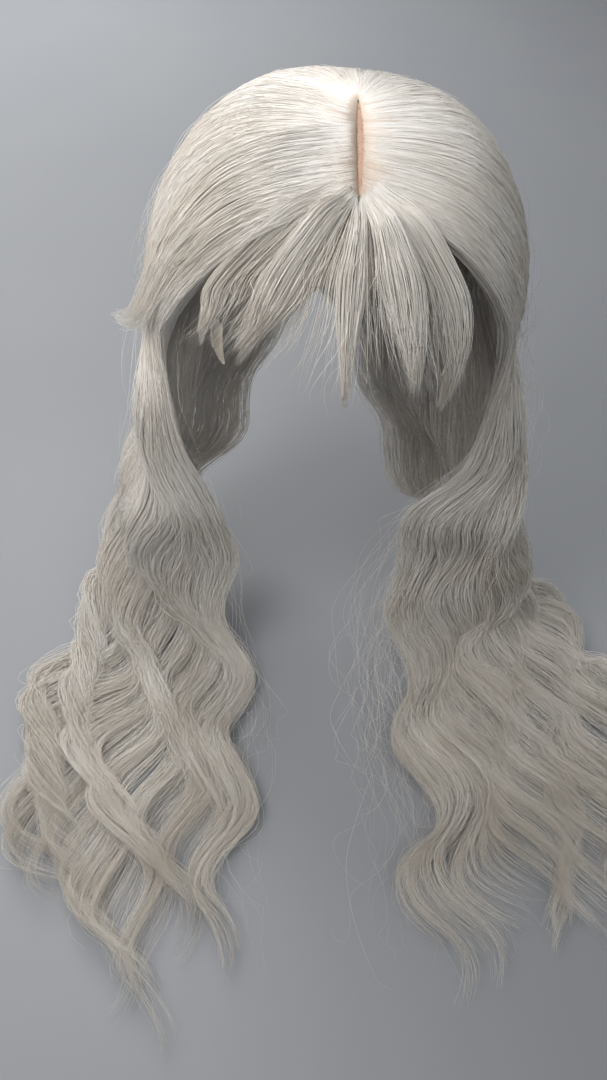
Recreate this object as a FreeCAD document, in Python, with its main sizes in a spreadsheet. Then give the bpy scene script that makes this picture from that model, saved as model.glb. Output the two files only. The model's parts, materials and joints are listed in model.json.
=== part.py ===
import FreeCAD, Part
import math
import os

from FreeCAD import Placement, Rotation, Vector

# A long wavy wig, in millimetres, as it sits on a head form on a table.
# The origin is the inside apex of the cap, where the crown of the head rests.
# +Z is up, the face looks along -Y and +X is the wearer's left side.
# "left" and "right" in the names are the sides seen by someone facing the wig.

doc = FreeCAD.newDocument("costume_wig")

# ---------------------------------------------------------------- driving sizes
sheet = doc.addObject("Spreadsheet::Sheet", "Sizes")

SIZES = [
    ("cap_half_width", 78, "inside of the cap, across the head at the ears"),
    ("cap_half_depth", 98, "inside of the cap, from the middle of the head to the brow"),
    ("cap_half_height", 110, "from the widest level of the head up to its crown"),
    ("net_thickness", 0.6, "elastic net of the dome"),
    ("trim_gap", 0.2, "free play between two sewn layers"),
    ("trim_thickness", 0.8, "bands, ribbons and parting strip"),
    ("weft_thickness", 1.4, "folded head of a machine-sewn weft"),
    ("weft_height", 3, "height of one weft head on the cap"),
    ("weft_pitch", 14, "distance between two weft rows, measured upright"),
    ("hair_in_half_width", 92, "inner face of the crown hair, across"),
    ("hair_in_half_depth", 107, "inner face of the crown hair, front to back"),
    ("hair_in_half_height", 115, "inner face of the crown hair, upright"),
    ("hair_out_half_width", 114, "outer face of the crown hair, across"),
    ("hair_out_half_depth", 116, "outer face of the crown hair, front to back"),
    ("hair_out_half_height", 125, "outer face of the crown hair, upright"),
    ("hair_gap", 0.6, "gap between two neighbouring sections of crown hair"),
    ("part_length", 60, "length of the parting strip"),
    ("part_width", 16, "width of the parting strip, most of it under the roots"),
    ("part_open", 5, "open line between the left and right roots"),
    ("part_front", -66, "front end of the parting"),
    ("fringe_level", -28, "level where the fringe leaves the crown hair"),
    ("crown_foot", -118, "level where the crown hair ends at the sides"),
    ("nape_foot", -165, "level where the crown hair ends at the back"),
    ("table_drop", 390, "from the crown of the head down to the table"),
    ("tab_top", -104, "upper edge of an ear tab"),
    ("tab_foot", -131, "lower edge of an ear tab"),
    ("tab_front", -52, "front edge of an ear tab"),
    ("tab_back", -24, "back edge of an ear tab"),
    ("tab_thickness", 1.4, "ear tab of two layers of lace and a stay pocket"),
    ("stay_width", 5, "flat stay sewn to the ear tab"),
    ("stay_thickness", 0.8, "flat stay sewn to the ear tab"),
    ("strap_radius", 55, "outer face of the adjuster strap, from its turning centre"),
    ("strap_centre", 33.4, "turning centre of the nape curve, behind the middle"),
    ("strap_thickness", 1, "elastic adjuster strap"),
    ("strap_height", 9, "elastic adjuster strap"),
    ("strap_foot", -154, "lower edge of the adjuster strap"),
    ("strap_sweep", 38, "arc that one strap covers, in degrees"),
    ("strap_start", 24, "angle from the middle of the nape to the strap's end, in degrees"),
    ("hook_sweep", 6.6, "arc that a hook covers, in degrees"),
    ("hook_thickness", 1.5, "moulded adjuster hook"),
    ("loop_sweep", 2.2, "arc that one adjuster loop covers, in degrees"),
    ("loop_pitch", 4, "arc from one adjuster loop to the next, in degrees"),
    ("loop_count", 4, "adjuster loops on each side of the nape"),
    ("loop_inner", 55.3, "inner face of the adjuster loops, from the turning centre"),
    ("loop_outer", 56.3, "outer face of the adjuster loops, from the turning centre"),
]

for row, (alias, value, meaning) in enumerate(SIZES, start=1):
    sheet.set(f"A{row}", alias)
    sheet.set(f"B{row}", str(value))
    sheet.set(f"C{row}", meaning)
    sheet.setAlias(f"B{row}", alias)
doc.recompute()


def size(alias):
    """The value of one driving size."""
    return float(sheet.get(alias))


FAR = 400  # half length of the plain blocks that trim the shells
sub_parts = []


def keep(thing, label):
    """Marks an object as a finished sub-part under its node name."""
    thing.Label = label
    sub_parts.append(thing)
    return thing


def bind(thing, **expressions):
    for name, expression in expressions.items():
        thing.setExpression(name, expression)
    return thing


# ---------------------------------------------------------------- plain building blocks
def ellipsoid(name, half_width, half_depth, half_height):
    """A solid ellipsoid round the middle of the head. Each size is an expression."""
    body = doc.addObject("Part::Ellipsoid", name)
    body.Angle1 = -90
    body.Angle2 = 90
    body.Angle3 = 360
    bind(body, Radius1=half_height, Radius2=half_width, Radius3=half_depth)
    body.setExpression("Placement.Base.z", "-Sizes.cap_half_height")
    return body


def cap_layer(name, inside, outside):
    """A shell that follows the cap between two distances from its inner face."""
    faces = []
    for end, gap in (("outer", outside), ("inner", inside)):
        faces.append(
            ellipsoid(
                f"{name}_{end}",
                f"Sizes.cap_half_width + {gap}",
                f"Sizes.cap_half_depth + {gap}",
                f"Sizes.cap_half_height + {gap}",
            )
        )
    return cut(name, *faces)


def cut(name, base, tool):
    result = doc.addObject("Part::Cut", name)
    result.Base = base
    result.Tool = tool
    return result


def common(name, base, tool):
    result = doc.addObject("Part::Common", name)
    result.Base = base
    result.Tool = tool
    return result


def block(name, low, high):
    """A box between two corners, given as lists of numbers or expressions."""
    box = doc.addObject("Part::Box", name)
    for axis, side, a, b in zip("xyz", ("Length", "Width", "Height"), low, high):
        box.setExpression(side, f"({b}) - ({a})")
        box.setExpression(f"Placement.Base.{axis}", f"{a}")
    return box


def prism(name, outline, direction, start, end):
    """An outline of points swept along a direction from start to end."""
    wire = doc.addObject("Part::Polygon", f"{name}_outline")
    wire.Nodes = [point + direction * start for point in outline]
    wire.Close = True
    solid = doc.addObject("Part::Extrusion", name)
    solid.Base = wire
    solid.DirMode = "Custom"
    solid.Dir = direction
    solid.LengthFwd = end - start
    solid.Solid = True
    return solid


def side_view(points):
    """Points of a side view, given as (y, z)."""
    return [Vector(0, y, z) for y, z in points]


def front_view(points):
    """Points of a front view, given as (x, z)."""
    return [Vector(x, 0, z) for x, z in points]


# ---------------------------------------------------------------- cap: net and trims
X_AXIS = Vector(1, 0, 0)
Y_AXIS = Vector(0, 1, 0)

# The lower edge of the cap, from the brow over the temple and the ear to the nape.
CAP_EDGE = [(-98, -50), (-74, -58), (-52, -84), (-46, -102.5), (-18, -102.5), (8, -98), (34, -112)]
NAPE_LEVEL = -158  # lower edge of the cap at the back
NAPE_EDGE = [(56, -150), (100, NAPE_LEVEL), (FAR, NAPE_LEVEL)]

net_shell = cap_layer("net_shell", "0", "Sizes.net_thickness")
trim_in = "Sizes.net_thickness + Sizes.trim_gap"
trim_out = f"{trim_in} + Sizes.trim_thickness"
trim_shell = cap_layer("trim_shell", trim_in, trim_out)
weft_in = f"{trim_out} + Sizes.trim_gap"
weft_shell = cap_layer("weft_shell", weft_in, f"{weft_in} + Sizes.weft_thickness")

ABOVE_CAP = [(FAR, 60), (-FAR, 60), (-FAR, -50)]
cap_outline = side_view(CAP_EDGE + NAPE_EDGE + ABOVE_CAP)
cap_side = prism("cap_side", cap_outline, X_AXIS, -FAR, FAR)
keep(common("net", net_shell, cap_side), "cap_net")

# The parting strip lies on the net from the front end of the parting backwards.
part_back = "Sizes.part_front + Sizes.part_length"
strip_block = block(
    "strip_block",
    ["-Sizes.part_width / 2", "Sizes.part_front", "-20"],
    ["Sizes.part_width / 2", part_back, "20"],
)
keep(common("strip", trim_shell, strip_block), "parting_strip")

# Front band: a strip that follows the brow and the temples.
BAND_BELOW = [(-FAR, -50), (-98, -50), (-74, -58), (-52, -84), (-46, -102.5)]
BAND_ABOVE = [(-36, -102.5), (-43, -81), (-68, -48), (-98, -39), (-FAR, -39)]
front_strip = prism("front_strip", side_view(BAND_BELOW + BAND_ABOVE), X_AXIS, -FAR, FAR)
keep(common("brow_band", trim_shell, front_strip), "front_band")

# Nape band: the wide elastic at the back of the cap.
NAPE_BAND_TOP = [(FAR, -136), (100, -136), (56, -132)]
nape_strip = prism("nape_strip", side_view(NAPE_EDGE + NAPE_BAND_TOP), X_AXIS, -FAR, FAR)
keep(common("back_band", trim_shell, nape_strip), "nape_band")

# Ribbons that carry the wefts: one down the back and one on each side.
RIBBON_HALF = 5  # half width of the ribbon down the back
RIBBON_FOOT = -131  # where it meets the nape band
SIDE_RIBBON_BACK, SIDE_RIBBON_FRONT = -4, -12
SIDE_RIBBON_TOP = 14  # distance from the middle of the head
SIDE_RIBBON_FOOT = -97
back_ribbon = block("back_ribbon", [-RIBBON_HALF, 0, RIBBON_FOOT], [RIBBON_HALF, FAR, FAR])
keep(common("ribbon_middle", trim_shell, back_ribbon), "centre_ribbon")
for side, sign in (("left", -1), ("right", 1)):
    edges = sorted((sign * SIDE_RIBBON_TOP, sign * FAR))
    low = [edges[0], SIDE_RIBBON_FRONT, SIDE_RIBBON_FOOT]
    ribbon = block(f"{side}_ribbon_block", low, [edges[1], SIDE_RIBBON_BACK, FAR])
    keep(common(f"{side}_ribbon_piece", trim_shell, ribbon), f"{side}_side_ribbon")

# Wefts: open rings round the back and the sides, one above the other.
WEFT_ROWS = 8
TOP_WEFT = -30  # level of the highest row
WRAPPING_ROWS = 5  # rows that reach round to the sides; the rest stay behind the ears
WRAP_START, NAPE_START = 4, 36  # front end of a row, from the middle of the head backwards
for row in range(WEFT_ROWS):
    level = f"({TOP_WEFT} - {row} * Sizes.weft_pitch)"
    start = WRAP_START if row < WRAPPING_ROWS else NAPE_START
    ring = block(
        f"weft_block_{row + 1}",
        [-FAR, start, f"{level} - Sizes.weft_height"],
        [FAR, FAR, level],
    )
    keep(common(f"weft_{row + 1}", weft_shell, ring), f"weft_row_{row + 1}")

# ---------------------------------------------------------------- cap: ear tabs and stays
tab_shell = cap_layer("tab_shell", "0", "Sizes.tab_thickness")
STAY_GAP = 0.1
stay_in = f"Sizes.tab_thickness + {STAY_GAP}"
stay_shell = cap_layer("stay_shell", stay_in, f"{stay_in} + Sizes.stay_thickness")
STAY_MARGIN = 3  # the stay ends short of the tab's edges
TAB_CLEAR = 20  # the tabs are cut from both sides of the head, outside this half width
for side, sign in (("left", -1), ("right", 1)):
    edges = sorted((sign * TAB_CLEAR, sign * FAR))
    tab = block(
        f"{side}_tab_block",
        [edges[0], "Sizes.tab_front", "Sizes.tab_foot"],
        [edges[1], "Sizes.tab_back", "Sizes.tab_top"],
    )
    keep(common(f"{side}_tab", tab_shell, tab), f"{side}_ear_tab")
    middle = "(Sizes.tab_front + Sizes.tab_back) / 2"
    stay = block(
        f"{side}_stay_block",
        [edges[0], f"{middle} - Sizes.stay_width / 2", f"Sizes.tab_foot + {STAY_MARGIN}"],
        [edges[1], f"{middle} + Sizes.stay_width / 2", f"Sizes.tab_top - {STAY_MARGIN}"],
    )
    keep(common(f"{side}_stay_piece", stay_shell, stay), f"{side}_tab_stay")


# ---------------------------------------------------------------- cap: nape adjusters
def arc_strip(name, inner, outer, height, foot, first, sweep):
    """A strip bent about the upright nape axis. The angle starts at +X and turns towards +Y."""
    rings = []
    for end, radius in (("outer", outer), ("inner", inner)):
        ring = doc.addObject("Part::Cylinder", f"{name}_{end}")
        bind(ring, Radius=radius, Height=height, Angle=sweep)
        ring.setExpression("Placement.Base.y", "Sizes.strap_centre")
        ring.setExpression("Placement.Base.z", foot)
        ring.setExpression("Placement.Rotation.Angle", first)
        rings.append(ring)
    return cut(name, *rings)


STRAIGHT_BACK = 90  # degrees from +X to +Y
HOOK_INSET = 0.5  # the hook is a little lower than the strap on both edges
HOOK_GAP = 0.3  # arc between strap and hook, in degrees
LOOP_HEIGHT = 4
LOOP_RAISE = 2.5  # the loops sit in the middle of the strap's height
for side, sign in (("left", 1), ("right", -1)):
    strap_low = f"{STRAIGHT_BACK} + Sizes.strap_start"
    hook_low = f"{strap_low} - Sizes.hook_sweep - {HOOK_GAP}"
    if sign < 0:
        strap_low = f"{STRAIGHT_BACK} - Sizes.strap_start - Sizes.strap_sweep"
        hook_low = f"{STRAIGHT_BACK} - Sizes.strap_start + {HOOK_GAP}"
    strap = arc_strip(
        f"{side}_strap",
        "Sizes.strap_radius - Sizes.strap_thickness",
        "Sizes.strap_radius",
        "Sizes.strap_height",
        "Sizes.strap_foot",
        strap_low,
        "Sizes.strap_sweep",
    )
    keep(strap, f"{side}_adjuster_strap")
    hook = arc_strip(
        f"{side}_hook",
        "Sizes.strap_radius - Sizes.hook_thickness",
        "Sizes.strap_radius",
        f"Sizes.strap_height - 2 * {HOOK_INSET}",
        f"Sizes.strap_foot + {HOOK_INSET}",
        hook_low,
        "Sizes.hook_sweep",
    )
    keep(hook, f"{side}_adjuster_hook")
    loops = []
    for index in range(int(size("loop_count"))):
        offset = f"({index} + 0.5) * Sizes.loop_pitch"
        first = f"{STRAIGHT_BACK} + {sign} * {offset} - Sizes.loop_sweep / 2"
        loop = arc_strip(
            f"{side}_loop_{index + 1}",
            "Sizes.loop_inner",
            "Sizes.loop_outer",
            f"{LOOP_HEIGHT}",
            f"Sizes.strap_foot + {LOOP_RAISE}",
            first,
            "Sizes.loop_sweep",
        )
        loops.append(loop)
    group = doc.addObject("Part::Compound", f"{side}_loops")
    group.Links = loops
    keep(group, f"{side}_adjuster_loops")

# ---------------------------------------------------------------- crown hair
hair_faces = []
for face in ("out", "in"):
    lengths = [f"Sizes.hair_{face}_half_{way}" for way in ("width", "depth", "height")]
    hair_faces.append(ellipsoid(f"hair_{face}", *lengths))
hair_shell = cut("hair_shell", *hair_faces)

CROWN_SPLIT = -15  # the upright plane between the front and the back sections
# Lower edge of the front sections, seen from the front, from the parting to the temple.
FRINGE_EDGE = [(45, -34), (76, -58), (100, -92), (114, -118)]
EAR_BACK, NAPE_FRONT = 34, 56  # between these the lower edge drops behind the ear
front_level = size("fringe_level")
half_part = size("part_open") / 2
half_gap = size("hair_gap") / 2
for side, sign in (("left", -1), ("right", 1)):
    edge = [(sign * half_part, front_level)]
    edge += [(sign * x, z) for x, z in FRINGE_EDGE]
    edge += [(sign * FAR, size("crown_foot")), (sign * FAR, FAR), (sign * half_part, FAR)]
    tool = prism(f"{side}_front_tool", front_view(edge), Y_AXIS, -FAR, CROWN_SPLIT - half_gap)
    keep(common(f"{side}_front_hair", hair_shell, tool), f"crown_hair_front_{side}")
    foot = size("crown_foot")
    nape = size("nape_foot")
    split = CROWN_SPLIT + half_gap
    low = [(split, foot), (EAR_BACK, foot), (NAPE_FRONT, nape), (FAR, nape)]
    outline = side_view(low + [(FAR, FAR), (split, FAR)])
    reach = sorted((sign * half_gap, sign * FAR))
    tool = prism(f"{side}_back_tool", outline, X_AXIS, reach[0], reach[1])
    keep(common(f"{side}_back_crown", hair_shell, tool), f"crown_hair_back_{side}")


# ---------------------------------------------------------------- locks of hair
def section(name, place, half_across, half_through, across, along):
    """One oval section of a lock: across is its wide direction, along its run."""
    oval = doc.addObject("Part::Ellipse", name)
    oval.MajorRadius = half_across
    oval.MinorRadius = half_through
    wide = across - along * across.dot(along)
    wide.normalize()
    oval.Placement = Placement(place, Rotation(wide, along.cross(wide), along, "ZXY"))
    return oval


def loft(label, across, stations, directions):
    """A closed solid through oval sections, each square to its own direction.
    A station is (x, y, z, half width, half thickness)."""
    ovals = []
    for index, (station, along) in enumerate(zip(stations, directions)):
        name = f"{label}_section_{index + 1}"
        ovals.append(section(name, Vector(*station[:3]), station[3], station[4], across, along))
    solid = doc.addObject("Part::Loft", f"{label}_loft")
    solid.Sections = ovals
    solid.Solid = True
    solid.Ruled = False
    return keep(solid, label)


def lock(label, stations):
    """A lock whose sections are square to its run, for hair that turns."""
    places = [Vector(*station[:3]) for station in stations]
    last = len(places) - 1
    directions = []
    for index in range(len(places)):
        along = places[min(index + 1, last)] - places[max(index - 1, 0)]
        along.normalize()
        directions.append(along)
    return loft(label, X_AXIS, stations, directions)


def hanging(label, across, stations):
    """A lock whose sections are all level, for hair that falls nearly straight down."""
    return loft(label, across, stations, [Vector(0, 0, -1)] * len(stations))


# Hair beside the face, wide from front to back, then spreading sideways towards the table.
hanging("left_side_hair", Y_AXIS, [
    (-103, -10, -120, 42, 10),
    (-104, -22, -155, 38, 13),
    (-99, -36, -195, 33, 21),
    (-94, -48, -235, 29, 27),
])
hanging("right_side_hair", Y_AXIS, [
    (104, -10, -120, 42, 10),
    (108, -22, -155, 38, 15),
    (106, -36, -195, 36, 30),
    (105, -46, -235, 38, 37),
])
hanging("left_shoulder_hair", X_AXIS, [
    (-93, -50, -238, 31, 24),
    (-94, -54, -275, 41, 22),
    (-99, -52, -310, 50, 20),
    (-106, -47, -345, 60, 18),
])
hanging("right_shoulder_hair", X_AXIS, [
    (104, -50, -238, 46, 25),
    (107, -54, -275, 56, 22),
    (118, -52, -310, 66, 20),
    (134, -47, -345, 78, 18),
])
# Hair from the back of the head, drawn round the neck towards each side.
for side, sign in (("left", -1), ("right", 1)):
    hanging(f"{side}_back_hair", X_AXIS, [
        (sign * 47, 84, -168, 42, 13),
        (sign * 64, 74, -215, 42, 15),
        (sign * 88, 54, -270, 44, 17),
        (sign * 112, 28, -325, 50, 18),
        (sign * 126, 8, -365, 54, 17),
    ])

# Fringe: locks that leave the crown at the brow and fall over the forehead.
lock("fringe_lock_far_left", [
    (-66, -73, -57, 6, 3),
    (-70, -77, -72, 7, 3.5),
    (-75, -79, -86, 6, 3),
    (-79, -79, -101, 3, 2),
])
lock("fringe_lock_left", [
    (-30, -88, -38, 8, 3),
    (-38, -95, -54, 9, 4),
    (-49, -98, -73, 8, 4),
    (-60, -96, -95, 5, 2.5),
])
lock("fringe_lock_centre", [
    (-3, -89, -33, 8, 3),
    (-3, -98, -50, 9, 4),
    (-2, -108, -77, 8, 4),
    (0, -114, -110, 4, 2.5),
])
lock("fringe_lock_right", [
    (18, -88, -35, 9, 3),
    (25, -98, -55, 10, 4),
    (32, -104, -80, 8, 4),
    (37, -106, -108, 4, 2.5),
])
lock("fringe_lock_far_right", [
    (44, -83, -46, 8, 3),
    (53, -88, -64, 8, 4),
    (58, -92, -90, 7, 4),
    (55, -96, -124, 4, 2.5),
])

# Lengths that lie on the table in front, each with the level of its middle.
LYING = 10 - size("table_drop")
lock("left_length_outer", [
    (-154, -78, LYING + 4, 16, 12),
    (-176, -120, LYING, 17, 9),
    (-184, -170, LYING, 17, 9),
    (-182, -220, LYING, 15, 9),
    (-166, -262, LYING, 11, 8),
    (-148, -290, LYING, 5, 5),
])
lock("left_length_middle", [
    (-108, -78, LYING + 4, 18, 12),
    (-126, -125, LYING, 20, 9),
    (-138, -180, LYING, 21, 9),
    (-132, -235, LYING, 20, 9),
    (-116, -290, LYING, 18, 9),
    (-106, -338, LYING, 12, 8),
    (-118, -376, LYING, 5, 5),
])
lock("left_length_inner", [
    (-65, -78, LYING + 4, 20, 12),
    (-66, -125, LYING, 25, 9),
    (-66, -180, LYING, 28, 9),
    (-72, -230, LYING, 24, 9),
    (-64, -278, LYING, 17, 8),
    (-74, -330, LYING, 6, 5),
])
lock("right_length_inner", [
    (80, -78, LYING + 4, 18, 12),
    (84, -125, LYING, 17, 9),
    (88, -180, LYING, 16, 9),
    (90, -235, LYING, 13, 9),
    (72, -285, LYING, 8, 7),
    (78, -330, LYING, 6, 6),
    (72, -368, LYING, 4, 4),
])
lock("right_length_middle", [
    (126, -78, LYING + 4, 22, 12),
    (132, -125, LYING, 23, 9),
    (138, -180, LYING, 23, 9),
    (148, -235, LYING, 24, 9),
    (162, -285, LYING, 18, 9),
    (178, -330, LYING, 7, 6),
])
lock("right_length_outer", [
    (178, -78, LYING + 4, 22, 12),
    (190, -125, LYING, 26, 9),
    (198, -180, LYING, 28, 9),
    (210, -235, LYING, 25, 9),
    (222, -285, LYING, 15, 9),
    (232, -322, LYING, 6, 6),
])
lock("right_length_far", [
    (222, -72, LYING + 2, 13, 9),
    (243, -112, LYING, 16, 9),
    (254, -160, LYING, 17, 9),
    (262, -205, LYING, 12, 8),
    (266, -240, LYING, 5, 5),
])

# ---------------------------------------------------------------- tests and files
doc.recompute()
failed = [thing.Label for thing in doc.Objects if {"Invalid", "Error"} & set(thing.State)]
for thing in sub_parts:
    if thing.Shape.isNull() or not thing.Shape.isValid() or thing.Shape.Volume <= 0:
        failed.append(thing.Label)
if failed:
    raise RuntimeError("these objects failed: " + ", ".join(sorted(set(failed))))

os.makedirs("parts", exist_ok=True)
for thing in sub_parts:
    thing.Shape.exportStep(f"parts/{thing.Label}.step")
    solids = len(thing.Shape.Solids)
    print(f"{thing.Label}: {solids} solid(s), {thing.Shape.Volume / 1000:.2f} cm3")
print(f"{len(sub_parts)} nodes")
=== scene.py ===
# %% [markdown]
# # A long wavy wig, built strand by strand
# A wig is a fitted cap with thousands of fibres sewn or knotted to it. Blender has a hair
# system, but its strands can't be exported as a solid mesh, so here every fibre is a thin
# closed tube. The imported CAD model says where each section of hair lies, and this script
# fills those sections with strands. Everything is in metres, with +Z up.

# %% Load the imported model
import json
import math

import bpy
import numpy as np
from mathutils import Matrix, Vector


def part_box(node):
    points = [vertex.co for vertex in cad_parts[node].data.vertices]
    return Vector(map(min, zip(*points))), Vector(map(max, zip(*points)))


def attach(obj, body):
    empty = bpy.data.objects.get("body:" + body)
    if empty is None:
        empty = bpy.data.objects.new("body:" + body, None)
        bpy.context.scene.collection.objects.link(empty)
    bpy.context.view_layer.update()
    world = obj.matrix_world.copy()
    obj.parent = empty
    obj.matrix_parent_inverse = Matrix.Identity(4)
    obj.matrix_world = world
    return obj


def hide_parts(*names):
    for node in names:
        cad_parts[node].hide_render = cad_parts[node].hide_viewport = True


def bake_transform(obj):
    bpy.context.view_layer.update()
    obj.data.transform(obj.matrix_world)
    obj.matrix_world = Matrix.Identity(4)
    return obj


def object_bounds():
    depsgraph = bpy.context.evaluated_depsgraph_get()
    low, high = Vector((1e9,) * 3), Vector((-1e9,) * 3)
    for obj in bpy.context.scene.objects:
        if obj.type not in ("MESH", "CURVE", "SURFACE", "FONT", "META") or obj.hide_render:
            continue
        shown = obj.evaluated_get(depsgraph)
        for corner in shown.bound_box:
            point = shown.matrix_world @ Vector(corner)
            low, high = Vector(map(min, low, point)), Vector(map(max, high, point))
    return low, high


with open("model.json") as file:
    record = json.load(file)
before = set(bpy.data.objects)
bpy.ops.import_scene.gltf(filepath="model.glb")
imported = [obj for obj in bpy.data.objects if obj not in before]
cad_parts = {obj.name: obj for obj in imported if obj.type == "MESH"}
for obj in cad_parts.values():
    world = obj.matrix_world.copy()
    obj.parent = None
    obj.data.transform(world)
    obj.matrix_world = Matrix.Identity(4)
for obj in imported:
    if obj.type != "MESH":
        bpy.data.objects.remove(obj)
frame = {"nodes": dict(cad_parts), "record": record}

CAD_BOX = [list(corner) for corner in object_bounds()]
MM = 0.001
SIDES = {"left": -1, "right": 1}
print("nodes", len(frame["nodes"]), "box", CAD_BOX)

# %% [markdown]
# ## Camera
# The camera looks down on the crown from the front, at about fifty degrees. It is made
# first, so that each later step can be judged from the same place. Its three axes are given
# as directions, which avoids any doubt about the order of turns.

# %% Camera
CAMERA_AT = Vector((-0.0509, -0.437, 0.1731))
CAMERA_FORWARD = Vector((0.0752, 0.6374, -0.7668))
CAMERA_UP = Vector((-0.0342, 0.7702, 0.6369))

FOCAL_LENGTH = 27.08  # millimetres, for a sensor 36 mm wide
FAR_END = 20

lens = bpy.data.cameras.new("camera")
lens.sensor_width = 36
lens.lens = FOCAL_LENGTH
lens.clip_end = FAR_END
camera = bpy.data.objects.new("camera", lens)
bpy.context.scene.collection.objects.link(camera)
camera_right = CAMERA_FORWARD.cross(CAMERA_UP).normalized()
camera_up = camera_right.cross(CAMERA_FORWARD).normalized()
turn = Matrix((camera_right, camera_up, -CAMERA_FORWARD.normalized())).transposed()
camera.matrix_world = Matrix.Translation(CAMERA_AT) @ turn.to_4x4()
bpy.context.scene.camera = camera
print("camera lens", lens.lens)

# %% [markdown]
# ## Floor
# A plain pale floor, made as one square with a faint mottle, so that it isn't a dead flat
# colour. A few small helpers build the node trees of its material and of all that follow: one
# adds a node and sets its sockets, and one adds a colour ramp.

# %% Floor
FLOOR_GAP = 0.5 * MM
FLOOR_HALF = 4.0
floor_level = CAD_BOX[0][2] - FLOOR_GAP


def tree_of(material):
    """An empty node tree for a new material, with its output."""
    material.use_nodes = True
    material.node_tree.nodes.clear()
    return material.node_tree


def node(tree, kind, **sockets):
    """A node with some of its sockets set, each to a value or to another node's output."""
    made = tree.nodes.new(kind)
    for name, value in sockets.items():
        socket = made.inputs[name.replace("_", " ")]
        if isinstance(value, bpy.types.NodeSocket):
            tree.links.new(value, socket)
        else:
            socket.default_value = value
    return made


def finish_material(tree, shader):
    output = tree.nodes.new("ShaderNodeOutputMaterial")
    tree.links.new(shader.outputs[0], output.inputs["Surface"])


def ramp(tree, factor, *stops):
    """A colour ramp with stops of (place, colour)."""
    made = tree.nodes.new("ShaderNodeValToRGB")
    tree.links.new(factor, made.inputs["Fac"])
    elements = made.color_ramp.elements
    while len(elements) < len(stops):
        elements.new(0.5)
    for element, (place, colour) in zip(elements, stops):
        element.position = place
        element.color = (*colour, 1)
    return made.outputs["Color"]


def floor_material():
    material = bpy.data.materials.new("pale_floor")
    tree = tree_of(material)
    place = tree.nodes.new("ShaderNodeTexCoord").outputs["Object"]
    grain = node(tree, "ShaderNodeTexNoise", Vector=place, Scale=3.0, Detail=2.0)
    tint = ramp(tree, grain.outputs["Fac"], (0.3, (0.32, 0.33, 0.35)), (0.7, (0.34, 0.35, 0.365)))
    shader = node(tree, "ShaderNodeBsdfPrincipled", Base_Color=tint, Roughness=0.6)
    finish_material(tree, shader)
    return material


corners = [(-1, -1), (1, -1), (1, 1), (-1, 1)]
floor_mesh = bpy.data.meshes.new("floor")
floor_points = [(x * FLOOR_HALF, y * FLOOR_HALF, floor_level) for x, y in corners]
floor_mesh.from_pydata(floor_points, [], [(0, 1, 2, 3)])
floor_mesh.materials.append(floor_material())
floor = bpy.data.objects.new("floor", floor_mesh)
bpy.context.scene.collection.objects.link(floor)
print("floor at", round(floor_level, 4))

# %% [markdown]
# ## Light
# Soft light, as in a small light tent. A wide lamp stands over the crown and a smaller one at
# the left temple, so the top and the left of the wig are the brightest. A wide fill from the
# front right keeps the lengths on the table readable, and the world adds an even, slightly
# cool light from all round. Near-white hair needs a plain tone curve: the Standard view keeps
# the step from pale to white, which a filmic curve would press flat.

# %% Lamps and world
WARM_LIGHT = (1.0, 0.985, 0.975)
COOL_LIGHT = (0.95, 0.975, 1.0)
LAMPS = [  # name, place, what it points at, width, watts and colour
    ("top_light", (-0.18, -0.08, 0.46), (-0.04, -0.04, -0.1), 0.70, 1.05, WARM_LIGHT),
    ("temple_light", (-0.33, -0.22, 0.25), (-0.06, -0.03, -0.05), 0.36, 1.85, WARM_LIGHT),
    ("front_fill", (0.35, -1.1, 0.8), (0.08, -0.1, -0.3), 1.4, 5.0, COOL_LIGHT),
    ("back_light", (-0.7, 1.5, 0.9), (-0.3, 1.3, -0.4), 1.2, 26.0, (1, 1, 1)),
]
WORLD_COLOUR = (0.86, 0.89, 0.94, 1)
WORLD_STRENGTH = 0.21


def area_light(name, place, target, width, power, colour):
    """A round lamp that points at a target and isn't seen itself."""
    lamp = bpy.data.lights.new(name, "AREA")
    lamp.shape = "DISK"
    lamp.size = width
    lamp.energy = power
    lamp.color = colour
    holder = bpy.data.objects.new(name, lamp)
    holder.location = place
    aim = Vector(target) - Vector(place)
    holder.rotation_mode = "QUATERNION"
    holder.rotation_quaternion = aim.to_track_quat("-Z", "Y")
    holder.visible_camera = False
    bpy.context.scene.collection.objects.link(holder)


for lamp_facts in LAMPS:
    area_light(*lamp_facts)
bpy.context.scene.view_settings.view_transform = "Standard"

world = bpy.data.worlds.new("soft_world")
world.use_nodes = True
background = world.node_tree.nodes["Background"]
background.inputs["Color"].default_value = WORLD_COLOUR
background.inputs["Strength"].default_value = WORLD_STRENGTH
bpy.context.scene.world = world
print("lamps", [facts[0] for facts in LAMPS])

# %% [markdown]
# ## Reading the sections of hair
# The CAD model holds each section of hair as a plain closed solid. A flat cut through such a
# solid gives its middle and its half size at that level, and the strands are laid through
# those cuts. So the hair follows the frame, and nothing has to be fitted afterwards.

# %% Cuts through the CAD solids
X, Y, Z = 0, 1, 2


def mesh_lines(name):
    """Points and edges of a CAD node, as arrays."""
    mesh = frame["nodes"][name].data
    points = np.empty(len(mesh.vertices) * 3)
    mesh.vertices.foreach_get("co", points)
    edges = np.empty(len(mesh.edges) * 2, int)
    mesh.edges.foreach_get("vertices", edges)
    return points.reshape(-1, 3), edges.reshape(-1, 2)


node_lines = {}


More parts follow.
